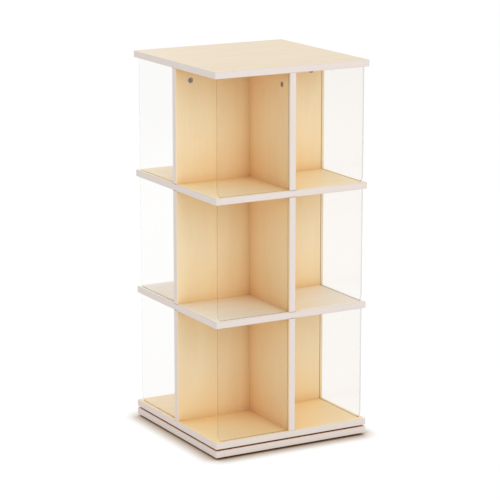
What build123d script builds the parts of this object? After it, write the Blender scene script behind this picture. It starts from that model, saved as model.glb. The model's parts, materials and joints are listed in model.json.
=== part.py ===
"""Rotating display rack: three tiers of birch plywood compartments with clear panes, on a ring bearing.

Millimetres. +Z is up. The origin is on the floor, in the middle under the base plate.
-Y is the front face. Everything above the ring bearing turns about Z.
Each tier is a cross of two interlocked dividers, which makes four compartments. Each compartment
has a clear pane on one outer face and is open on the other, in a pinwheel, so the rack looks the
same from all four sides.
"""

import os

from build123d import *

# Boards
BOARD_SIDE = 450.0  # top board, bottom board and base plate
SHELF_SIDE = 446.0  # the two shelves, and the length of the dividers
PLY = 18.0
TIER_HEIGHT = 300.0  # clear height between boards
TIER_NAMES = ("lower", "middle", "upper")
CORNER_RADIUS = 4.0
EDGE_ROUND = 2.5
QUARTERS = (0, 90, 180, 270)

# Heights of the stack, from the floor up
FOOT_HEIGHT = 6.0
BEARING_GAP = 4.0
BASE_TOP = FOOT_HEIGHT + PLY
BOTTOM_BOARD_LOW = BASE_TOP + BEARING_GAP
TIER_PITCH = TIER_HEIGHT + PLY
TIER_FLOORS = [BOTTOM_BOARD_LOW + PLY + TIER_PITCH * tier for tier in range(3)]
TOP_BOARD_LOW = TIER_FLOORS[-1] + TIER_HEIGHT

# Clear panes and their grooves
PANE_THICKNESS = 4.0
PANE_CENTRE = 213.0  # from the rack's axis to the middle of a pane's thickness
PANE_FREE_EDGE = 214.0  # from the rack's axis to a pane's free upright edge
PANE_CORNER_RADIUS = 24.0  # at the foot of the free edge; the other corners are square
PANE_EDGE_BEVEL = 0.5
GROOVE_WIDTH = 4.4
GROOVE_DEPTH = 5.0
PANE_TOP_PLAY = 1.0
PANE_DIVIDER_PLAY = 0.5

# Halving joint of the dividers
HALVING_PLAY = 0.1

# Cam locks under the top board
CAM_RADIUS = 7.4
CAM_DEPTH = 13.2
CAM_BORE_RADIUS = 7.5
CAM_BORE_DEPTH = 13.5
CAM_DROP = 34.0  # from the divider's top edge to the cam's middle
CAM_DISTANCE = 179.0  # from the rack's axis
CAM_HEAD_PLAY = 0.5
CAM_NECK_PLAY = 0.3
CAM_DRIVE_DEPTH = 2.6
BOLT_NECK_RADIUS = 2.5
BOLT_HEAD_RADIUS = 3.5
BOLT_HEAD_BELOW = 2.2  # from the cam's middle to the head's lower and upper ends
BOLT_HEAD_ABOVE = 1.2
BOLT_HEAD_BEVEL = 0.8
BOLT_SHANK_RADIUS = 3.5
BOLT_SHANK_GAP = 1.0  # between the cam and the end of the shank
BOLT_THREAD_RADIUS = 2.9
BOLT_THREAD_LENGTH = 11.0
BOLT_TIP_RADIUS = 1.0
BOLT_BORE_RADIUS = 4.0

# Wooden dowels
DOWEL_RADIUS = 4.0
DOWEL_BEVEL = 0.8
DOWEL_PLAY = 0.05
DOWEL_GRIP = 20.0
DOWEL_END_PLAY = 0.5
SHELF_DOWEL_DISTANCES = (60.0, 179.0)
TOP_DOWEL_DISTANCE = 100.0
TOP_DOWEL_GRIP = 12.0

# Screws from the bottom board up into the lowest dividers
FLOOR_SCREW_DISTANCES = (60.0, 179.0)
FLOOR_SCREW_LENGTH = 50.0
FLOOR_SCREW_HEAD_RADIUS = 5.0
FLOOR_SCREW_SHANK_RADIUS = 3.5

# Ring bearing
BALL_RADIUS = 2.5
BALL_COUNT = 36
RACE_PLAY = 0.15
RACE_CIRCLE = 140.0
RING_SPLIT = 2.8  # radial gap between the rings
RING_HEIGHT = 8.5
RING_CLEARANCE = 0.5
RING_BEVEL = 0.6
INNER_RING_INSIDE = 118.0
OUTER_RING_OUTSIDE = 162.0
CAGE_THICKNESS = 1.6
CAGE_HEIGHT = 7.2
BEARING_POCKET_DEPTH = RING_HEIGHT + RING_CLEARANCE - BEARING_GAP
POCKET_MARGIN = 3.0
RING_SCREW_COUNT = 8
RING_SCREW_LENGTH = 16.0
RING_SCREW_HEAD_RADIUS = 3.5
RING_SCREW_SHANK_RADIUS = 1.8
OUTER_SCREW_CIRCLE = 152.0
INNER_SCREW_CIRCLE = 128.0
ACCESS_HOLE_RADIUS = 6.0

# Feet
FOOT_DISTANCE = 190.0  # from the rack's axis to a foot, along X and along Y
FOOT_RADIUS = 18.0
FOOT_FLOOR_RADIUS = 16.5
FOOT_ROUND = 1.2
FOOT_RECESS_RADIUS = 5.2
FOOT_RECESS_DEPTH = 3.4
FOOT_SCREW_HEAD_RADIUS = 4.4
FOOT_SCREW_HEAD_HEIGHT = 2.4
FOOT_SCREW_HEAD_ROUND = 1.4
FOOT_SCREW_DRIVE_DEPTH = 1.4
FOOT_SCREW_SHANK_RADIUS = 2.1
FOOT_SCREW_LENGTH = 16.0

# All screws
SCREW_PLAY = 0.05
POINT_LENGTH = 3.0
TIP_RADIUS = 0.4
DRIVE_DEPTH = 2.0
DRIVE_REACH = 0.5  # of the head's radius, from the middle to the end of each arm of the cross
DRIVE_WIDTH = 0.2  # of the head's radius, across each arm

THROUGH = 2.0  # how far a cutting solid runs past the face that it cuts


def post(radius, low, high, x=0.0, y=0.0):
    """An upright cylinder between two heights."""
    return Pos(x, y, low) * extrude(Circle(radius), high - low)


def cone(low_radius, high_radius, low, high, x=0.0, y=0.0):
    """An upright cone between two heights."""
    middle = (low + high) / 2
    return Pos(x, y, middle) * Cone(low_radius, high_radius, high - low)


def turned(profile):
    """A solid of revolution about Z from closed (radius, height) points."""
    outline = Polyline(*[(radius, 0, height) for radius, height in profile], close=True)
    return revolve(make_face(outline), Axis.Z)


def four_ways(piece):
    """The piece at each quarter turn about Z."""
    return [Rot(0, 0, angle) * piece for angle in QUARTERS]


def on_the_arms(distances):
    """Points on the four arms of the cross, at each distance from the axis."""
    points = []
    for distance in distances:
        points += [(distance, 0), (0, distance), (-distance, 0), (0, -distance)]
    return points


def around(radius, count, offset=0.0):
    """Evenly spaced points on a circle."""
    return [Vector(radius, 0, 0).rotate(Axis.Z, offset + 360 * n / count) for n in range(count)]


def drive_recess(head_radius, depth, face):
    """A cross recess whose mouth is at the height of a face that looks down."""
    arm = Box(2 * DRIVE_REACH * head_radius, DRIVE_WIDTH * head_radius, depth + THROUGH)
    middle = face + (depth - THROUGH) / 2
    return Pos(0, 0, middle) * (arm + Rot(0, 0, 90) * arm)


# Boards


def board(side, low):
    """A square plywood board with its corners and its edges rounded."""
    blank = Pos(0, 0, low) * extrude(RectangleRounded(side, side, CORNER_RADIUS), PLY)
    faces = blank.faces().filter_by(Axis.Z)
    return fillet(faces.edges(), EDGE_ROUND)


def pane_inner_edge():
    """Distance from the rack's axis to the pane's upright edge inside the divider's groove."""
    return PLY / 2 - GROOVE_DEPTH + PANE_DIVIDER_PLAY


def pane_width():
    """How wide the pane is from its inner edge to its free edge."""
    return PANE_FREE_EDGE - pane_inner_edge()


def pane_width_at_floor():
    """How wide the pane is where its rounded corner dips into the groove below it."""
    rise = PANE_CORNER_RADIUS - GROOVE_DEPTH
    inset = PANE_CORNER_RADIUS - (PANE_CORNER_RADIUS**2 - rise**2) ** 0.5
    return pane_width() - inset


def groove_tools(face, into):
    """Cutters for the four pane grooves in a board's face; into is +1 upwards or -1 downwards."""
    run = pane_width() if into > 0 else pane_width_at_floor()
    outline = SlotCenterToCenter(run, GROOVE_WIDTH)
    tool = extrude(outline, into * (GROOVE_DEPTH + THROUGH))
    tool = Pos(-pane_inner_edge() - run / 2, -PANE_CENTRE, face - into * THROUGH) * tool
    return four_ways(tool)


def dowel_bores(low, high, distances):
    """Cutters for upright dowel bores on the arms of the cross."""
    radius = DOWEL_RADIUS + DOWEL_PLAY
    return [post(radius, low, high, x, y) for x, y in on_the_arms(distances)]


def make_shelf(low):
    shelf = board(SHELF_SIDE, low)
    cuts = groove_tools(low + PLY, -1) + groove_tools(low, 1)
    cuts += dowel_bores(low - THROUGH, low + PLY + THROUGH, SHELF_DOWEL_DISTANCES)
    return shelf - cuts


def make_top_board():
    low = TOP_BOARD_LOW
    cuts = groove_tools(low, 1)
    cuts += dowel_bores(low - THROUGH, low + TOP_DOWEL_GRIP + DOWEL_END_PLAY, [TOP_DOWEL_DISTANCE])
    thread = BOLT_THREAD_RADIUS + SCREW_PLAY
    for x, y in on_the_arms([CAM_DISTANCE]):
        cuts.append(post(thread, low - THROUGH, low + BOLT_THREAD_LENGTH + DOWEL_END_PLAY, x, y))
    return board(BOARD_SIDE, low) - cuts


def make_bottom_board():
    low = BOTTOM_BOARD_LOW
    cuts = groove_tools(low + PLY, -1)
    neck = FLOOR_SCREW_SHANK_RADIUS + SCREW_PLAY
    head = FLOOR_SCREW_HEAD_RADIUS + SCREW_PLAY
    for x, y in on_the_arms(FLOOR_SCREW_DISTANCES):
        cuts.append(post(neck, low - THROUGH, low + PLY + THROUGH, x, y))
        cuts.append(cone(head, neck, low, low + head - neck, x, y))
    pilot = RING_SCREW_SHANK_RADIUS + SCREW_PLAY
    for point in around(INNER_SCREW_CIRCLE, RING_SCREW_COUNT):
        cuts.append(post(pilot, low - THROUGH, low + ring_screw_bite(), point.X, point.Y))
    return board(BOARD_SIDE, low) - cuts


def make_base_plate():
    floor = BASE_TOP - BEARING_POCKET_DEPTH
    outside = OUTER_RING_OUTSIDE + POCKET_MARGIN
    inside = INNER_RING_INSIDE - POCKET_MARGIN
    cuts = [post(outside, floor, BASE_TOP + THROUGH) - post(inside, floor - THROUGH, BASE_TOP + 2 * THROUGH)]
    pilot = RING_SCREW_SHANK_RADIUS + SCREW_PLAY
    for point in around(OUTER_SCREW_CIRCLE, RING_SCREW_COUNT, ring_screw_offset()):
        cuts.append(post(pilot, floor - ring_screw_bite(), floor + THROUGH, point.X, point.Y))
    access = around(INNER_SCREW_CIRCLE, RING_SCREW_COUNT)[1]
    cuts.append(post(ACCESS_HOLE_RADIUS, 0, BASE_TOP, access.X, access.Y))
    pilot = FOOT_SCREW_SHANK_RADIUS + SCREW_PLAY
    top = foot_screw_top() + SCREW_PLAY
    for x, y in foot_places().values():
        cuts.append(post(pilot, 0, top, x, y))
    return board(BOARD_SIDE, FOOT_HEIGHT) - cuts


# Dividers and panes


def divider_blank(floor):
    """A divider standing along X, with its upright edges rounded."""
    blank = Pos(0, 0, floor + TIER_HEIGHT / 2) * Box(SHELF_SIDE, PLY, TIER_HEIGHT)
    return fillet(blank.edges().filter_by(Axis.Z), EDGE_ROUND)


def divider_groove_tools(floor):
    """Cutters for the upright pane grooves, on opposite faces of the divider's two ends."""
    depth = GROOVE_DEPTH + THROUGH
    offset = PLY / 2 - GROOVE_DEPTH + depth / 2
    tool = Box(GROOVE_WIDTH, depth, TIER_HEIGHT + 2 * THROUGH)
    right = Pos(PANE_CENTRE, -offset, floor + TIER_HEIGHT / 2) * tool
    return [right, Rot(0, 0, 180) * right]


def divider_end_bores(tier, floor):
    """Cutters in the divider's lower and upper edges for dowels, screws and bolts."""
    top = floor + TIER_HEIGHT
    grip = DOWEL_GRIP + DOWEL_END_PLAY
    bores = []
    if tier == 0:
        shank = FLOOR_SCREW_SHANK_RADIUS + SCREW_PLAY
        reach = FLOOR_SCREW_LENGTH - PLY + DOWEL_END_PLAY
        for x, y in on_the_arms(FLOOR_SCREW_DISTANCES):
            bores.append(post(shank, floor - THROUGH, floor + reach, x, y))
    else:
        bores += dowel_bores(floor - THROUGH, floor + grip, SHELF_DOWEL_DISTANCES)
    if tier == len(TIER_NAMES) - 1:
        bores += dowel_bores(top - grip, top + THROUGH, [TOP_DOWEL_DISTANCE])
        for x, y in on_the_arms([CAM_DISTANCE]):
            bores.append(post(BOLT_BORE_RADIUS, top - CAM_DROP, top + THROUGH, x, y))
    else:
        bores += dowel_bores(top - grip, top + THROUGH, SHELF_DOWEL_DISTANCES)
    return bores


def cam_bore(face_depth, radius, depth):
    """A round solid in a divider's front face, at the left cam's place."""
    middle = Pos(-CAM_DISTANCE, face_depth, TOP_BOARD_LOW - CAM_DROP)
    return middle * Rot(-90, 0, 0) * extrude(Circle(radius), depth)


def make_dividers(tier):
    """The two interlocked dividers of a tier: one runs left to right, the other front to back."""
    floor = TIER_FLOORS[tier]
    blank = divider_blank(floor) - divider_groove_tools(floor)
    if tier == len(TIER_NAMES) - 1:
        bore = cam_bore(-PLY / 2 - THROUGH, CAM_BORE_RADIUS, CAM_BORE_DEPTH + THROUGH)
        blank -= [bore, Pos(2 * CAM_DISTANCE, 0, 0) * bore]
    slot = Box(PLY + 2 * HALVING_PLAY, PLY + THROUGH, TIER_HEIGHT / 2 + HALVING_PLAY + THROUGH)
    shift = TIER_HEIGHT / 4 + (THROUGH - HALVING_PLAY) / 2
    middle = floor + TIER_HEIGHT / 2
    slotted_above = blank - Pos(0, 0, middle + shift) * slot
    slotted_below = blank - Pos(0, 0, middle - shift) * slot
    bores = divider_end_bores(tier, floor)
    return {"left_right": slotted_above - bores, "front_back": Rot(0, 0, -90) * slotted_below - bores}


def make_pane(floor):
    """The pane on the front face, left of the divider as seen from the front."""
    low = floor - GROOVE_DEPTH
    high = floor + TIER_HEIGHT + GROOVE_DEPTH - PANE_TOP_PLAY
    middle = (-pane_inner_edge() - pane_width() / 2, (low + high) / 2)
    outline = Pos(*middle) * Rectangle(pane_width(), high - low)
    free_corners = outline.vertices().sort_by(Axis.X)[:2]
    outline = fillet(free_corners.sort_by(Axis.Y)[0], PANE_CORNER_RADIUS)
    sheet = Plane.XZ.offset(PANE_CENTRE - PANE_THICKNESS / 2) * outline
    pane = extrude(sheet, PANE_THICKNESS)
    edges = pane.edges().filter_by(lambda edge: edge.center().X < -PANE_FREE_EDGE + PANE_CORNER_RADIUS)
    rims = edges.filter_by(lambda edge: abs(edge.bounding_box().size.Y) < PANE_EDGE_BEVEL)
    return chamfer(rims, PANE_EDGE_BEVEL)


# Fastenings


def make_dowel(low, high, x, y):
    dowel = Pos(x, y, low) * extrude(Circle(DOWEL_RADIUS), high - low)
    return chamfer(dowel.edges().filter_by(GeomType.CIRCLE), DOWEL_BEVEL)


def make_shelf_dowels(low):
    ends = (low - DOWEL_GRIP, low + PLY + DOWEL_GRIP)
    return [make_dowel(*ends, x, y) for x, y in on_the_arms(SHELF_DOWEL_DISTANCES)]


def make_top_dowels():
    ends = (TOP_BOARD_LOW - DOWEL_GRIP, TOP_BOARD_LOW + TOP_DOWEL_GRIP)
    return [make_dowel(*ends, x, y) for x, y in on_the_arms([TOP_DOWEL_DISTANCE])]


def make_cam():
    """A cam in the left-to-right divider's left end. Its hollow takes the bolt's neck and head."""
    recess = (CAM_BORE_DEPTH - CAM_DEPTH) / 2
    cam = cam_bore(-PLY / 2 + recess, CAM_RADIUS, CAM_DEPTH)
    middle = TOP_BOARD_LOW - CAM_DROP
    head_room = BOLT_HEAD_RADIUS + CAM_HEAD_PLAY
    neck_room = 2 * (BOLT_NECK_RADIUS + CAM_NECK_PLAY)
    hollow = post(head_room, middle - head_room, middle + head_room / 2, -CAM_DISTANCE)
    mouth = Pos(-CAM_DISTANCE, 0, middle + CAM_RADIUS / 2) * Box(neck_room, neck_room, CAM_RADIUS + THROUGH)
    cross = Rot(-90, 0, 0) * drive_recess(CAM_RADIUS, CAM_DRIVE_DEPTH, 0)
    return cam - hollow - mouth - Pos(-CAM_DISTANCE, -PLY / 2 + recess, middle) * cross


def make_cams():
    """One cam in each arm: two face the front and two face the left."""
    left = make_cam()
    right = Pos(2 * CAM_DISTANCE, 0, 0) * left
    return [left, right, Rot(0, 0, -90) * left, Rot(0, 0, -90) * right]


def make_cam_bolt(x, y):
    """The bolt that screws up into the top board and hangs its head in a cam."""
    low = TOP_BOARD_LOW
    middle = low - CAM_DROP
    shank_low = middle + CAM_RADIUS + BOLT_SHANK_GAP
    thread_top = low + BOLT_THREAD_LENGTH
    head = post(BOLT_HEAD_RADIUS, middle - BOLT_HEAD_BELOW, middle + BOLT_HEAD_ABOVE, x, y)
    head = chamfer(head.edges().filter_by(GeomType.CIRCLE), BOLT_HEAD_BEVEL)
    neck = post(BOLT_NECK_RADIUS, middle, shank_low, x, y)
    shank = post(BOLT_SHANK_RADIUS, shank_low, low, x, y)
    thread = post(BOLT_THREAD_RADIUS, low, thread_top - POINT_LENGTH, x, y)
    point = cone(BOLT_THREAD_RADIUS, BOLT_TIP_RADIUS, thread_top - POINT_LENGTH, thread_top, x, y)
    return head + neck + shank + thread + point


def countersunk_screw(length, head_radius, shank_radius):
    """A screw pointing up with its flat head at the origin."""
    sink = head_radius - shank_radius
    head = cone(head_radius, shank_radius, 0, sink)
    shank = post(shank_radius, 0, length - POINT_LENGTH)
    point = cone(shank_radius, TIP_RADIUS, length - POINT_LENGTH, length)
    return head + shank + point - drive_recess(head_radius, DRIVE_DEPTH, 0)


def make_floor_screws():
    screw = countersunk_screw(FLOOR_SCREW_LENGTH, FLOOR_SCREW_HEAD_RADIUS, FLOOR_SCREW_SHANK_RADIUS)
    return [Pos(x, y, BOTTOM_BOARD_LOW) * screw for x, y in on_the_arms(FLOOR_SCREW_DISTANCES)]


# Ring bearing


def ring_screw_offset():
    """Half a step, so that the outer ring's screws stand between the inner ring's."""
    return 180 / RING_SCREW_COUNT


def ring_screw_bite():
    """Depth of a ring screw's hole in the wood."""
    return RING_SCREW_LENGTH - RING_HEIGHT + SCREW_PLAY


def bearing_middle():
    """Height of the balls' middles."""
    return BOTTOM_BOARD_LOW - RING_HEIGHT + (RING_HEIGHT - RING_CLEARANCE) / 2


def ring(inside, outside, low, high):
    """A bearing ring with its ball race cut into the side that faces the balls."""
    blank = post(outside, low, high) - post(inside, low, high)
    blank = chamfer(blank.edges().filter_by(GeomType.CIRCLE), RING_BEVEL)
    return blank - Pos(0, 0, bearing_middle()) * Torus(RACE_CIRCLE, BALL_RADIUS + RACE_PLAY)


def ring_screw_holes(circle, offset, face, into):
    """Countersunk holes through a ring, from the face that the heads sit in."""
    shank = RING_SCREW_SHANK_RADIUS + SCREW_PLAY
    head = RING_SCREW_HEAD_RADIUS + SCREW_PLAY
    hole = post(shank, -THROUGH, RING_HEIGHT + THROUGH) + cone(head, shank, 0, head - shank)
    if into < 0:
        hole = Rot(180, 0, 0) * hole
    return [Pos(p.X, p.Y, face) * hole for p in around(circle, RING_SCREW_COUNT, offset)]


def make_inner_ring():
    low = BOTTOM_BOARD_LOW - RING_HEIGHT
    blank = ring(INNER_RING_INSIDE, RACE_CIRCLE - RING_SPLIT / 2, low, BOTTOM_BOARD_LOW)
    return blank - ring_screw_holes(INNER_SCREW_CIRCLE, 0, low, 1)


def make_outer_ring():
    low = BASE_TOP - BEARING_POCKET_DEPTH
    high = low + RING_HEIGHT
    blank = ring(RACE_CIRCLE + RING_SPLIT / 2, OUTER_RING_OUTSIDE, low, high)
    return blank - ring_screw_holes(OUTER_SCREW_CIRCLE, ring_screw_offset(), high, -1)


def make_balls():
    middle = bearing_middle()
    return [Pos(p.X, p.Y, middle) * Sphere(BALL_RADIUS) for p in around(RACE_CIRCLE, BALL_COUNT)]


def make_cage():
    middle = bearing_middle()
    outside = RACE_CIRCLE + CAGE_THICKNESS / 2
    inside = RACE_CIRCLE - CAGE_THICKNESS / 2
    low, high = middle - CAGE_HEIGHT / 2, middle + CAGE_HEIGHT / 2
    strip = post(outside, low, high) - post(inside, low - THROUGH, high + THROUGH)
    pocket = Rot(0, 90, 0) * Cylinder(BALL_RADIUS + RACE_PLAY, 4 * CAGE_THICKNESS)
    pocket = Pos(RACE_CIRCLE, 0, middle) * pocket
    return strip - [Rot(0, 0, 360 * n / BALL_COUNT) * pocket for n in range(BALL_COUNT)]


def ring_screw():
    return countersunk_screw(RING_SCREW_LENGTH, RING_SCREW_HEAD_RADIUS, RING_SCREW_SHANK_RADIUS)


def make_inner_ring_screws():
    face = BOTTOM_BOARD_LOW - RING_HEIGHT
    places = around(INNER_SCREW_CIRCLE, RING_SCREW_COUNT)
    return [Pos(p.X, p.Y, face) * ring_screw() for p in places]


def make_outer_ring_screws():
    face = BASE_TOP - BEARING_POCKET_DEPTH + RING_HEIGHT
    places = around(OUTER_SCREW_CIRCLE, RING_SCREW_COUNT, ring_screw_offset())
    return [Pos(p.X, p.Y, face) * Rot(180, 0, 0) * ring_screw() for p in places]


# Feet


def foot_places():
    """Each foot's name and its place under the base plate."""
    near, far = -FOOT_DISTANCE, FOOT_DISTANCE
    return {
        "front_left": (near, near),
        "front_right": (far, near),
        "back_right": (far, far),
        "back_left": (near, far),
    }


def foot_screw_top():
    return FOOT_RECESS_DEPTH - FOOT_SCREW_HEAD_HEIGHT + FOOT_SCREW_LENGTH


def make_foot():
    """A round rubber foot, narrower at the floor, with a stepped hole for its screw."""
    shank = FOOT_SCREW_SHANK_RADIUS + SCREW_PLAY
    foot = turned(
        [
            (shank, FOOT_RECESS_DEPTH),
            (FOOT_RECESS_RADIUS, FOOT_RECESS_DEPTH),
            (FOOT_RECESS_RADIUS, 0),
            (FOOT_FLOOR_RADIUS, 0),
            (FOOT_RADIUS, FOOT_HEIGHT),
            (shank, FOOT_HEIGHT),
        ]
    )
    rim = foot.edges().filter_by(GeomType.CIRCLE).group_by(Axis.Z)[0].sort_by(SortBy.RADIUS)[-1]
    return fillet(rim, FOOT_ROUND)


def make_foot_screw():
    """A pan-head screw whose head sits up inside the foot's recess."""
    low = FOOT_RECESS_DEPTH - FOOT_SCREW_HEAD_HEIGHT
    head = post(FOOT_SCREW_HEAD_RADIUS, low, FOOT_RECESS_DEPTH)
    head = fillet(head.edges().group_by(Axis.Z)[0], FOOT_SCREW_HEAD_ROUND)
    top = foot_screw_top()
    shank = post(FOOT_SCREW_SHANK_RADIUS, FOOT_RECESS_DEPTH, top - POINT_LENGTH)
    point = cone(FOOT_SCREW_SHANK_RADIUS, TIP_RADIUS, top - POINT_LENGTH, top)
    return head + shank + point - drive_recess(FOOT_SCREW_HEAD_RADIUS, FOOT_SCREW_DRIVE_DEPTH, low)


def all_parts():
    """Every node's name with its solids."""
    parts = {
        "base_plate": [make_base_plate()],
        "bottom_board": [make_bottom_board()],
        "lower_shelf": [make_shelf(TIER_FLOORS[1] - PLY)],
        "upper_shelf": [make_shelf(TIER_FLOORS[2] - PLY)],
        "top_board": [make_top_board()],
        "bearing_outer_ring": [make_outer_ring()],
        "bearing_inner_ring": [make_inner_ring()],
        "bearing_ball_cage": [make_cage()],
        "bearing_balls": make_balls(),
        "outer_ring_screws": make_outer_ring_screws(),
        "inner_ring_screws": make_inner_ring_screws(),
        "bottom_board_screws": make_floor_screws(),
        "lower_shelf_dowels": make_shelf_dowels(TIER_FLOORS[1] - PLY),
        "upper_shelf_dowels": make_shelf_dowels(TIER_FLOORS[2] - PLY),
        "top_dowels": make_top_dowels(),
        "cam_locks": make_cams(),
        "cam_bolts": [make_cam_bolt(x, y) for x, y in on_the_arms([CAM_DISTANCE])],
    }
    for tier, tier_name in enumerate(TIER_NAMES):
        for run, divider in make_dividers(tier).items():
            parts[f"{tier_name}_divider_{run}"] = [divider]
        pane = make_pane(TIER_FLOORS[tier])
        for side, angle in zip(("front", "right", "back", "left"), QUARTERS):
            parts[f"{tier_name}_pane_{side}"] = [Rot(0, 0, angle) * pane]
    for corner, (x, y) in foot_places().items():
        parts[f"foot_{corner}"] = [Pos(x, y, 0) * make_foot()]
    parts["foot_screws"] = [Pos(x, y, 0) * make_foot_screw() for x, y in foot_places().values()]
    return parts


os.makedirs("parts", exist_ok=True)
for name, solids in all_parts().items():
    single = [solid for shape in solids for solid in shape.solids()]
    whole = single[0] if len(single) == 1 else Compound(children=single)
    export_step(whole, f"parts/{name}.step")
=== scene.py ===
"""Rotating display rack in birch plywood with clear panes: finishes, light, floor and camera."""

import json
import math

import bpy
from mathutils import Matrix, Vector


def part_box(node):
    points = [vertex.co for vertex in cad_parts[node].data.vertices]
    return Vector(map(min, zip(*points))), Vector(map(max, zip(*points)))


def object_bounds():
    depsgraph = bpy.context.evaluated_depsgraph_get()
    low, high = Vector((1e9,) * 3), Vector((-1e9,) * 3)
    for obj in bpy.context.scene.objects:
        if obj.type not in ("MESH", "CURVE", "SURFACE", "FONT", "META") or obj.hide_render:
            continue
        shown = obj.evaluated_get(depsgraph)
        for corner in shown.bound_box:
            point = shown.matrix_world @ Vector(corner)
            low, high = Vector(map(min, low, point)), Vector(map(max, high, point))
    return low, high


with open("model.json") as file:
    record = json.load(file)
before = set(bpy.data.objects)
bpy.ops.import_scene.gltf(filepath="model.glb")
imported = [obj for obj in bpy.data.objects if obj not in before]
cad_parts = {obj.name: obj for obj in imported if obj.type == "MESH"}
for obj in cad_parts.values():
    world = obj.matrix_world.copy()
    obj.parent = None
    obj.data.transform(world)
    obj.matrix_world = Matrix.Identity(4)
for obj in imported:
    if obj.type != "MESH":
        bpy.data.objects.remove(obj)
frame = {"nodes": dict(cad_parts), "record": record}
CAD_LOW, CAD_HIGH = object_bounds()
HEIGHT = CAD_HIGH.z - CAD_LOW.z
MM = 0.001
AXES = "XYZ"
WHITE = (1.0, 1.0, 1.0)

# Camera, as azimuth from the front, elevation, and distances in rack heights
CAMERA_AZIMUTH = -29.3
CAMERA_ELEVATION = 13.0
CAMERA_DISTANCE = 5.924
AIM_HEIGHT = 0.482
LENS = 161.7
SENSOR = 36.0
VIEW_END = 200.0

# Light: a white sky and three softboxes turned to the rack's middle
SKY_STRENGTH = 0.84
BACKDROP_STRENGTH = 1.0  # how bright the sky looks to the camera
SOFTBOX_ELEVATION = 30.0
SOFTBOX_DISTANCE = 4.0
SOFTBOX_SIZE = 2.4
KEY_AZIMUTH = 0.0
KEY_WATTS = 36.0
SIDE_AZIMUTH = 90.0
SIDE_WATTS = 18.0
BACK_AZIMUTH = 180.0
BACK_WATTS = 40.0

# Floor
FLOOR_SIDE = 80.0
FLOOR_ALBEDO = 0.1
FLOOR_ROUGHNESS = 0.9
FLOOR_GLOW = 0.92
CONTACT_SHADOW_REACH = 0.045
CONTACT_SHADOW_POWERS = (1.12, 1.46, 1.8)  # how fast red, green and blue fade under the rack

# Ranges of a noise's values over which a pattern goes from one look to the other
NOISE_RANGE = (0.3, 0.7)
NARROW_RANGE = (0.35, 0.65)
CLOUD_RANGE = (0.3, 0.72)
PORE_RANGE = (0.70, 0.78)
MOULDED_RANGE = (0.35, 0.7)
PANE_MARK_RANGE = (0.45, 0.8)

# Plywood. A wood pattern's sizes are along the grain and across it.
# Painted light and shade: one birch plywood given a separate tone for each board, each tone fitted to
# how light and shade fall on that board
BOARD_TONES_WITH_PAINTED_LIGHT = {
    "base_plate": (0.95, 0.88, 0.74),
    "bottom_board": (0.95, 0.78, 0.48),
    "lower_shelf": (0.885, 0.855, 0.78),
    "upper_shelf": (0.95, 0.84, 0.58),
    "top_board": (0.81, 0.68, 0.505),
}
UNGROOVED_BOARD = "base_plate"
# Painted light and shade: the front-facing divider's tone lighter, the side-facing divider's darker and
# more orange where it stands in shade
LEFT_RIGHT_PAINTED_LIGHT_TONE = (0.90, 0.755, 0.505)
FRONT_BACK_PAINTED_SHADE_TONE = (0.90, 0.68, 0.40)
SEED_SHIFT = (7.3, 3.1, 5.7)  # how far each plate's patterns are moved on from the last one's
WOOD_BUMP = 0.08 * MM
WOOD_BUMP_STRENGTH = 0.6
WOOD_COAT = 0.05
WOOD_COAT_ROUGHNESS = 0.3
WOOD_SPECULAR = 0.3

# The face veneer, with its clouds, streaks, fibres and pores
CLOUD_SIZES = (520 * MM, 60 * MM)
CLOUD_FADES = (0.975, 0.955, 0.93)
STREAK_SIZES = (90 * MM, 3.2 * MM)
STREAK_FADE = 0.975
FIBRE_SIZES = (14 * MM, 0.45 * MM)
PORE_SIZES = (7 * MM, 0.6 * MM)
PORE_FADES = (0.7, 0.64, 0.56)
PORE_SHARE = 0.25
PORE_DEPTH = 0.6
SATIN_SIZES = (60 * MM, 12 * MM)
VENEER_ROUGHNESS = (0.36, 0.48)

# The core, seen on the edges and in the grooves
PLIES = 13
SKIN_RANGE = (0.02 * MM, 0.3 * MM)  # depth over which the core takes over from the face veneer
WANDER_SIZE = 45 * MM
LAYER_WANDER = 0.12  # how far a glue line strays, in plies
LONG_GRAIN_TONE = (0.81, 0.73, 0.68)
LONG_GRAIN_SIZE = 9 * MM
LONG_GRAIN_FADE = 0.95
END_GRAIN_TONE = (0.74, 0.66, 0.61)
END_GRAIN_SIZE = 0.5 * MM
END_GRAIN_FADE = 0.9
LAYER_SPREAD = 0.07  # how much darker one ply may be than another
GLUE_TONE = (0.58, 0.48, 0.41)
GLUE_SHARE = 0.45
GLUE_RANGE = (0.43, 0.49)  # distance from a ply's middle over which its glue line sets in, in plies
END_GRAIN_RANGE = (0.4, 0.6)  # share of the surface's normal along the grain
CORE_ROUGHNESS = 0.58

# Painted shade, deepening the colour near corners, in crevices and inside grooves, where shade falls:
# reach, and powers for each channel
CORNER_SHADE_REACH = 0.14
CORNER_SHADE_POWERS = (0.0, 0.16, 0.42)
CREVICE_SHADE_REACH = 0.03
CREVICE_SHADE_POWERS = (0.12, 0.2, 0.34)
GROOVE_SHADE_REACH = 0.01
GROOVE_SHADE_POWERS = (1.4, 1.8, 2.2)

# Panes
PANE_TINT = (0.95, 0.945, 0.935)
PANE_IOR = 1.49
PANE_REFLECTION = (0.3, 0.3, 0.3)
PANE_MARK_SIZES = (90 * MM, 90 * MM, 30 * MM)
PANE_FACE_ROUGHNESS = 0.02  # at most, where its faint marks are
PANE_EDGE_RANGE = (0.8, 0.95)  # how squarely the surface must face to count as a pane's face
PANE_EDGE_ROUGHNESS = 0.4
PANE_EDGE_CLEARNESS = 0.8

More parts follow.
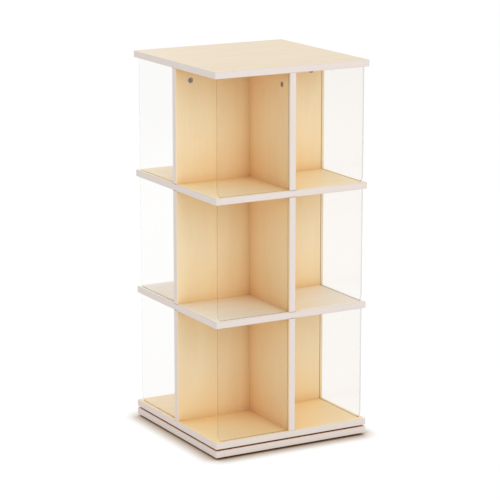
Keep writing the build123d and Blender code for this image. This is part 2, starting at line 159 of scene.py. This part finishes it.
# Fittings
RUBBER_TONE = (0.035, 0.03, 0.028)
NYLON_TONE = (0.68, 0.67, 0.62)
ALUMINIUM_TONE = (0.74, 0.74, 0.75)
LATHE_MARKS = (4 * MM, 4 * MM, 0.15 * MM)  # fine rings round the bearing
STEEL_TONE = (0.78, 0.78, 0.8)
ZINC_TONE = (0.62, 0.63, 0.66)
CAM_TONE = (0.36, 0.35, 0.34)
METAL_DULLNESS = 0.86
METAL_ROUGHENING = 0.12
MOULDED_PALENESS = 1.25
MOULDED_ROUGHENING = 0.1
MARKS_STRENGTH = 0.5
BEECH_SIZES = (25 * MM, 0.8 * MM)
BEECH_DARK = (0.55, 0.39, 0.24)
BEECH_PALE = (0.66, 0.49, 0.32)
BEECH_ROUGHNESS = 0.62
BEECH_BUMP = 0.05 * MM


class Tree:
    """A material's node tree. Most of its methods add nodes and return their output."""

    def __init__(self, name):
        self.material = bpy.data.materials.new(name)
        self.material.use_nodes = True
        self.nodes = self.material.node_tree.nodes
        self.links = self.material.node_tree.links
        self.shader = self.nodes["Principled BSDF"]
        self.place = self.add("ShaderNodeTexCoord", {}, "Object")
        self.normal = self.add("ShaderNodeTexCoord", {}, "Normal")

    def add(self, kind, inputs, output=0, **settings):
        node = self.nodes.new(kind)
        for name, value in settings.items():
            setattr(node, name, value)
        for name, value in inputs.items():
            self.feed(node.inputs[name], value)
        return node.outputs[output]

    def feed(self, socket, value):
        if isinstance(value, bpy.types.NodeSocket):
            self.links.new(value, socket)
        elif isinstance(value, tuple) and len(value) == 3 and socket.type == "RGBA":
            socket.default_value = (*value, 1.0)
        else:
            socket.default_value = value

    def math(self, operation, first, second=0.0, third=0.0):
        return self.add("ShaderNodeMath", {0: first, 1: second, 2: third}, operation=operation)

    def axis(self, vector, name):
        return self.add("ShaderNodeSeparateXYZ", {0: vector}, name)

    def blend(self, share, first, second, how="MIX"):
        """Colour first where share is 0 and second where it is 1."""
        inputs = {0: share, 6: first, 7: second}
        return self.add("ShaderNodeMix", inputs, 2, data_type="RGBA", blend_type=how)

    def darken(self, colour, shade):
        """The colour times a number."""
        grey = self.add("ShaderNodeCombineColor", {0: shade, 1: shade, 2: shade})
        return self.blend(1.0, colour, grey, "MULTIPLY")

    def paint_openness_shade(self, colour, reach, powers):
        """Painted shade: the colour, each channel fading by its own power of how open the place is
        within reach.
        """
        openness = self.add("ShaderNodeAmbientOcclusion", {"Distance": reach}, "AO", samples=8)
        fades = {channel: self.math("POWER", openness, power) for channel, power in enumerate(powers)}
        return self.blend(1.0, colour, self.add("ShaderNodeCombineColor", fades), "MULTIPLY")

    def between(self, share, first, second):
        """Number first where share is 0 and second where it is 1."""
        return self.add("ShaderNodeMix", {0: share, 2: first, 3: second}, data_type="FLOAT")

    def step(self, value, low, high, start=0.0, end=1.0):
        """Goes smoothly from start to end as value goes from low to high."""
        inputs = {0: value, 1: low, 2: high, 3: start, 4: end}
        return self.add("ShaderNodeMapRange", inputs, interpolation_type="SMOOTHSTEP")

    def noise(self, sizes, shift=(0.0, 0.0, 0.0), detail=2.0, roughness=0.5, distortion=0.0):
        """Noise with its own size on each axis, in metres, shifted by so many sizes."""
        scale = tuple(1 / size for size in sizes)
        spot = self.add("ShaderNodeMapping", {"Vector": self.place, "Location": shift, "Scale": scale})
        inputs = {
            "Vector": spot,
            "Scale": 1.0,
            "Detail": detail,
            "Roughness": roughness,
            "Distortion": distortion,
        }
        return self.add("ShaderNodeTexNoise", inputs, "Fac")

    def grain(self, sizes, grain_axis, shift=(0.0, 0.0, 0.0), **settings):
        """Noise drawn out along the grain; the sizes are along it and across it."""
        along, across = sizes
        return self.noise([along if name == grain_axis else across for name in AXES], shift, **settings)

    def bump(self, height, distance, strength):
        return self.add("ShaderNodeBump", {"Height": height, "Distance": distance, "Strength": strength})

    def finish(self, **inputs):
        """Sets the shader's inputs, named with _ for each space, and returns the material."""
        for name, value in inputs.items():
            self.feed(self.shader.inputs[name.replace("_", " ").title().replace("Ior", "IOR")], value)
        return self.material


def faded(tone, fades):
    """A colour with each channel faded by its own factor."""
    return tuple(channel * fade for channel, fade in zip(tone, fades))


def plywood(name, node, thickness_axis, grain_axis, tone, seed, painted_groove_shade=False):
    """Birch plywood: veneer on the faces, and the layers of the core on the edges and in grooves, with
    painted shade in corners, crevices and grooves.
    """
    tree = Tree(name)
    low, high = (corner[AXES.index(thickness_axis)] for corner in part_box(node))
    cross_axis = (set(AXES) - {thickness_axis, grain_axis}).pop()
    shift = tuple(seed * step for step in SEED_SHIFT)
    level = tree.axis(tree.place, thickness_axis)
    depth = tree.math("MINIMUM", tree.math("SUBTRACT", level, low), tree.math("SUBTRACT", high, level))
    core = tree.step(depth, *SKIN_RANGE)

    veneer, veneer_height = veneer_pattern(tree, grain_axis, tone, shift)
    layers, layer_height = layer_pattern(tree, level, low, high, grain_axis, cross_axis, shift)
    # Painted shade: the veneer darker and more saturated near inner corners and in crevices, and the
    # core darker inside grooves, where shade falls
    veneer = tree.paint_openness_shade(veneer, CORNER_SHADE_REACH, CORNER_SHADE_POWERS)
    veneer = tree.paint_openness_shade(veneer, CREVICE_SHADE_REACH, CREVICE_SHADE_POWERS)
    if painted_groove_shade:
        layers = tree.paint_openness_shade(layers, GROOVE_SHADE_REACH, GROOVE_SHADE_POWERS)
    satin = tree.grain(SATIN_SIZES, grain_axis, shift, detail=3.0)
    polish = tree.step(satin, *NOISE_RANGE, *VENEER_ROUGHNESS)
    height = tree.between(core, veneer_height, layer_height)
    return tree.finish(
        base_color=tree.blend(core, veneer, layers),
        roughness=tree.between(core, polish, CORE_ROUGHNESS),
        normal=tree.bump(height, WOOD_BUMP, WOOD_BUMP_STRENGTH),
        coat_weight=WOOD_COAT,
        coat_roughness=WOOD_COAT_ROUGHNESS,
        specular_ior_level=WOOD_SPECULAR,
    )


def veneer_pattern(tree, grain_axis, tone, shift):
    """Rotary-cut birch: broad pale clouds, fine streaks and short dark pores along the grain."""
    clouds = tree.grain(CLOUD_SIZES, grain_axis, shift, detail=3.0, roughness=0.55, distortion=1.2)
    streaks = tree.grain(STREAK_SIZES, grain_axis, shift, detail=4.0, roughness=0.6, distortion=0.3)
    fibres = tree.grain(FIBRE_SIZES, grain_axis, shift)
    dashes = tree.grain(PORE_SIZES, grain_axis, shift, detail=1.0, roughness=0.3)
    pores = tree.step(dashes, *PORE_RANGE)

    colour = tree.blend(tree.step(clouds, *CLOUD_RANGE), faded(tone, CLOUD_FADES), tone)
    colour = tree.darken(colour, tree.step(streaks, *NOISE_RANGE, STREAK_FADE, 1.0))
    colour = tree.blend(tree.math("MULTIPLY", pores, PORE_SHARE), colour, faded(tone, PORE_FADES))
    ridges = tree.between(0.5, streaks, fibres)
    height = tree.math("SUBTRACT", ridges, tree.math("MULTIPLY", pores, PORE_DEPTH))
    return colour, height


def layer_pattern(tree, level, low, high, grain_axis, cross_axis, shift):
    """The core's plies, lying with and across the grain by turns, with glue lines between them."""
    ply = (high - low) / PLIES
    wander = tree.noise((WANDER_SIZE,) * 3, shift, detail=3.0)
    wander = tree.math("MULTIPLY_ADD", wander, 2 * LAYER_WANDER, -LAYER_WANDER)
    position = tree.math("ADD", tree.math("DIVIDE", tree.math("SUBTRACT", level, low), ply), wander)
    index = tree.math("FLOOR", position)
    within = tree.math("FRACT", position)
    crossed = tree.math("FLOORED_MODULO", index, 2.0)

    along_normal = tree.math("ABSOLUTE", tree.axis(tree.normal, grain_axis))
    cross_normal = tree.math("ABSOLUTE", tree.axis(tree.normal, cross_axis))
    end_grain = tree.step(tree.between(crossed, along_normal, cross_normal), *END_GRAIN_RANGE)
    layer_tone = tree.add("ShaderNodeTexWhiteNoise", {"W": index}, "Value", noise_dimensions="1D")
    middle = tree.math("ABSOLUTE", tree.math("SUBTRACT", within, 0.5))
    glue = tree.step(middle, *GLUE_RANGE)

    fibres = tree.noise((LONG_GRAIN_SIZE,) * 3, shift, detail=5.0, roughness=0.75)
    specks = tree.noise((END_GRAIN_SIZE,) * 3, shift, detail=2.0, roughness=0.7)
    long_grain = tree.darken(LONG_GRAIN_TONE, tree.step(fibres, *NOISE_RANGE, LONG_GRAIN_FADE, 1.0))
    ends = tree.darken(END_GRAIN_TONE, tree.step(specks, *NARROW_RANGE, END_GRAIN_FADE, 1.0))
    colour = tree.blend(end_grain, long_grain, ends)
    colour = tree.darken(colour, tree.math("MULTIPLY_ADD", layer_tone, LAYER_SPREAD, 1 - LAYER_SPREAD))
    colour = tree.blend(tree.math("MULTIPLY", glue, GLUE_SHARE), colour, GLUE_TONE)
    height = tree.math("SUBTRACT", tree.between(end_grain, fibres, specks), glue)
    return colour, height


def acrylic(thickness_axis):
    """Clear cast acrylic, polished on its faces and satin on its sawn edges."""
    tree = Tree(f"clear_acrylic_{thickness_axis.lower()}")
    facing = tree.math("ABSOLUTE", tree.axis(tree.normal, thickness_axis))
    marks = tree.noise(PANE_MARK_SIZES, detail=5.0, roughness=0.65, distortion=0.6)
    polished = tree.step(marks, *PANE_MARK_RANGE, 0.0, PANE_FACE_ROUGHNESS)
    edge = tree.step(facing, *PANE_EDGE_RANGE, 1.0, 0.0)
    material = tree.finish(
        base_color=PANE_TINT,
        roughness=tree.between(edge, polished, PANE_EDGE_ROUGHNESS),
        ior=PANE_IOR,
        specular_tint=PANE_REFLECTION,
        transmission_weight=1.0,
    )
    bounce = tree.add("ShaderNodeLightPath", {}, "Is Diffuse Ray")
    seen = tree.add("ShaderNodeLightPath", {}, "Is Camera Ray")
    inside = tree.add("ShaderNodeNewGeometry", {}, "Backfacing")
    through_edge = tree.math("MULTIPLY", edge, PANE_EDGE_CLEARNESS)
    from_inside = tree.math("MULTIPLY", seen, inside)
    passing = tree.math("MAXIMUM", bounce, tree.math("MAXIMUM", through_edge, from_inside))
    clear = tree.add("ShaderNodeBsdfTransparent", {"Color": PANE_TINT})
    surface = tree.add("ShaderNodeMixShader", {0: passing, 1: tree.shader.outputs[0], 2: clear})
    tree.links.new(surface, tree.nodes["Material Output"].inputs["Surface"])
    return material


def metal(name, tone, roughness, marks_sizes, marks_depth):
    """A metal with fine marks in its surface."""
    tree = Tree(name)
    marks = tree.noise(marks_sizes, detail=4.0, roughness=0.6)
    dulled = tuple(channel * METAL_DULLNESS for channel in tone)
    return tree.finish(
        base_color=tree.blend(tree.step(marks, *NARROW_RANGE), dulled, tone),
        metallic=1.0,
        roughness=tree.step(marks, *NOISE_RANGE, roughness, roughness + METAL_ROUGHENING),
        normal=tree.bump(marks, marks_depth, MARKS_STRENGTH),
    )


def moulded(name, tone, roughness, grain_size, grain_depth):
    """Moulded rubber or plastic with a fine grain."""
    tree = Tree(name)
    grain = tree.noise((grain_size,) * 3, detail=3.0, roughness=0.6)
    lighter = tuple(channel * MOULDED_PALENESS for channel in tone)
    return tree.finish(
        base_color=tree.blend(tree.step(grain, *MOULDED_RANGE), tone, lighter),
        roughness=tree.step(grain, *NOISE_RANGE, roughness, roughness + MOULDED_ROUGHENING),
        normal=tree.bump(grain, grain_depth, MARKS_STRENGTH),
    )


def beech(name):
    """Bare beech rod with its grain along the dowel."""
    tree = Tree(name)
    grain = tree.grain(BEECH_SIZES, "Z", detail=3.0)
    return tree.finish(
        base_color=tree.blend(tree.step(grain, *NARROW_RANGE), BEECH_DARK, BEECH_PALE),
        roughness=BEECH_ROUGHNESS,
        normal=tree.bump(grain, BEECH_BUMP, WOOD_BUMP_STRENGTH),
    )


def paint(node, material):
    """Puts a material on a CAD node."""
    for slot in frame["nodes"][node].material_slots:
        slot.material = material


def finish_wood():
    """Gives each board and divider its own plywood, so that no two show the same grain, and its own tone
    with painted light and shade.
    """
    for seed, (node, tone) in enumerate(BOARD_TONES_WITH_PAINTED_LIGHT.items(), start=1):
        grooved = node != UNGROOVED_BOARD
        paint(node, plywood(f"plywood_{node}", node, "Z", "X", tone, seed, painted_groove_shade=grooved))
    dividers = [node for node in frame["nodes"] if "_divider_" in node]
    for seed, node in enumerate(sorted(dividers), start=len(BOARD_TONES_WITH_PAINTED_LIGHT) + 1):
        if node.endswith("left_right"):
            thickness_axis, tone = "Y", LEFT_RIGHT_PAINTED_LIGHT_TONE
        else:
            thickness_axis, tone = "X", FRONT_BACK_PAINTED_SHADE_TONE
        paint(node, plywood(f"plywood_{node}", node, thickness_axis, "Z", tone, seed))


def finish_fittings():
    """Feet, bearing, screws, cams and dowels, each by the name of its CAD material."""
    # Each recipe has a tone, a roughness, and the size and depth of the grain or marks
    recipes = {
        "foot_rubber": (moulded, RUBBER_TONE, 0.6, 0.5 * MM, 0.05 * MM),
        "cage_nylon": (moulded, NYLON_TONE, 0.45, 0.8 * MM, 0.02 * MM),
        "bearing_aluminium": (metal, ALUMINIUM_TONE, 0.3, LATHE_MARKS, 0.01 * MM),
        "bearing_steel": (metal, STEEL_TONE, 0.08, (3 * MM,) * 3, 0.001 * MM),
        "zinc_screws": (metal, ZINC_TONE, 0.32, (0.6 * MM,) * 3, 0.01 * MM),
        "cam_zinc": (metal, CAM_TONE, 0.38, (0.7 * MM,) * 3, 0.02 * MM),
        "beech_dowel": (beech,),
    }
    materials = {slot: make(slot, *settings) for slot, (make, *settings) in recipes.items()}
    for part in frame["record"]["subparts"]:
        if part["material_slot"] in materials:
            paint(part["node"], materials[part["material_slot"]])


def finish_panes():
    """Clear panes that cast no shadow on the wood behind them."""
    facing_front, facing_side = acrylic("Y"), acrylic("X")
    for part in frame["record"]["subparts"]:
        node = part["node"]
        if part["material_slot"] == "clear_acrylic":
            paint(node, facing_front if node.endswith(("front", "back")) else facing_side)
            frame["nodes"][node].visible_shadow = False


def add_floor():
    """A plain white floor that fills the view and darkens close to whatever stands on it."""
    half = FLOOR_SIDE / 2
    mesh = bpy.data.meshes.new("floor")
    corners = [(-half, -half, 0), (half, -half, 0), (half, half, 0), (-half, half, 0)]
    mesh.from_pydata(corners, [], [(0, 1, 2, 3)])
    floor = bpy.data.objects.new("floor", mesh)
    floor.location.z = CAD_LOW.z
    bpy.context.scene.collection.objects.link(floor)
    tree = Tree("floor")
    shadow = tree.paint_openness_shade(WHITE, CONTACT_SHADOW_REACH, CONTACT_SHADOW_POWERS)
    material = tree.finish(
        base_color=tree.darken(shadow, FLOOR_ALBEDO),
        roughness=FLOOR_ROUGHNESS,
        specular_ior_level=0.0,
        emission_color=shadow,
        emission_strength=FLOOR_GLOW,
    )
    material.cycles.emission_sampling = "NONE"
    mesh.materials.append(material)


def add_sky():
    """Even white light from all round."""
    world = bpy.data.worlds.new("studio")
    bpy.context.scene.world = world
    world.use_nodes = True
    nodes, links = world.node_tree.nodes, world.node_tree.links
    path = nodes.new("ShaderNodeLightPath")
    strength = nodes.new("ShaderNodeMapRange")
    strength.inputs["To Min"].default_value = SKY_STRENGTH
    strength.inputs["To Max"].default_value = BACKDROP_STRENGTH
    links.new(path.outputs["Is Camera Ray"], strength.inputs["Value"])
    background = nodes["Background"]
    background.inputs["Color"].default_value = (*WHITE, 1.0)
    links.new(strength.outputs["Result"], background.inputs["Strength"])


def direction(azimuth, elevation):
    """Unit vector from the rack towards a place round it; azimuth 0 is the front."""
    turn, rise = math.radians(azimuth), math.radians(elevation)
    flat = math.cos(rise)
    return Vector((math.sin(turn) * flat, -math.cos(turn) * flat, math.sin(rise)))


def add_softbox(name, azimuth, watts):
    """A square area light turned to the rack's middle."""
    light = bpy.data.lights.new(name, "AREA")
    light.size = SOFTBOX_SIZE
    light.energy = watts
    lamp = bpy.data.objects.new(name, light)
    back = direction(azimuth, SOFTBOX_ELEVATION)
    lamp.location = Vector((0, 0, HEIGHT / 2)) + back * SOFTBOX_DISTANCE
    lamp.rotation_euler = back.to_track_quat("Z", "Y").to_euler()
    bpy.context.scene.collection.objects.link(lamp)


def add_camera():
    """The photograph's viewpoint."""
    camera = bpy.data.cameras.new("camera")
    camera.lens = LENS
    camera.sensor_width = SENSOR
    camera.clip_end = VIEW_END
    eye = bpy.data.objects.new("camera", camera)
    back = direction(CAMERA_AZIMUTH, CAMERA_ELEVATION)
    eye.location = Vector((0, 0, AIM_HEIGHT * HEIGHT)) + back * CAMERA_DISTANCE * HEIGHT
    eye.rotation_euler = back.to_track_quat("Z", "Y").to_euler()
    bpy.context.scene.collection.objects.link(eye)
    bpy.context.scene.camera = eye


finish_wood()
finish_fittings()
finish_panes()
add_floor()
add_sky()
add_softbox("key", KEY_AZIMUTH, KEY_WATTS)
add_softbox("side", SIDE_AZIMUTH, SIDE_WATTS)
add_softbox("back", BACK_AZIMUTH, BACK_WATTS)
add_camera()
bpy.context.scene.view_settings.view_transform = "Standard"
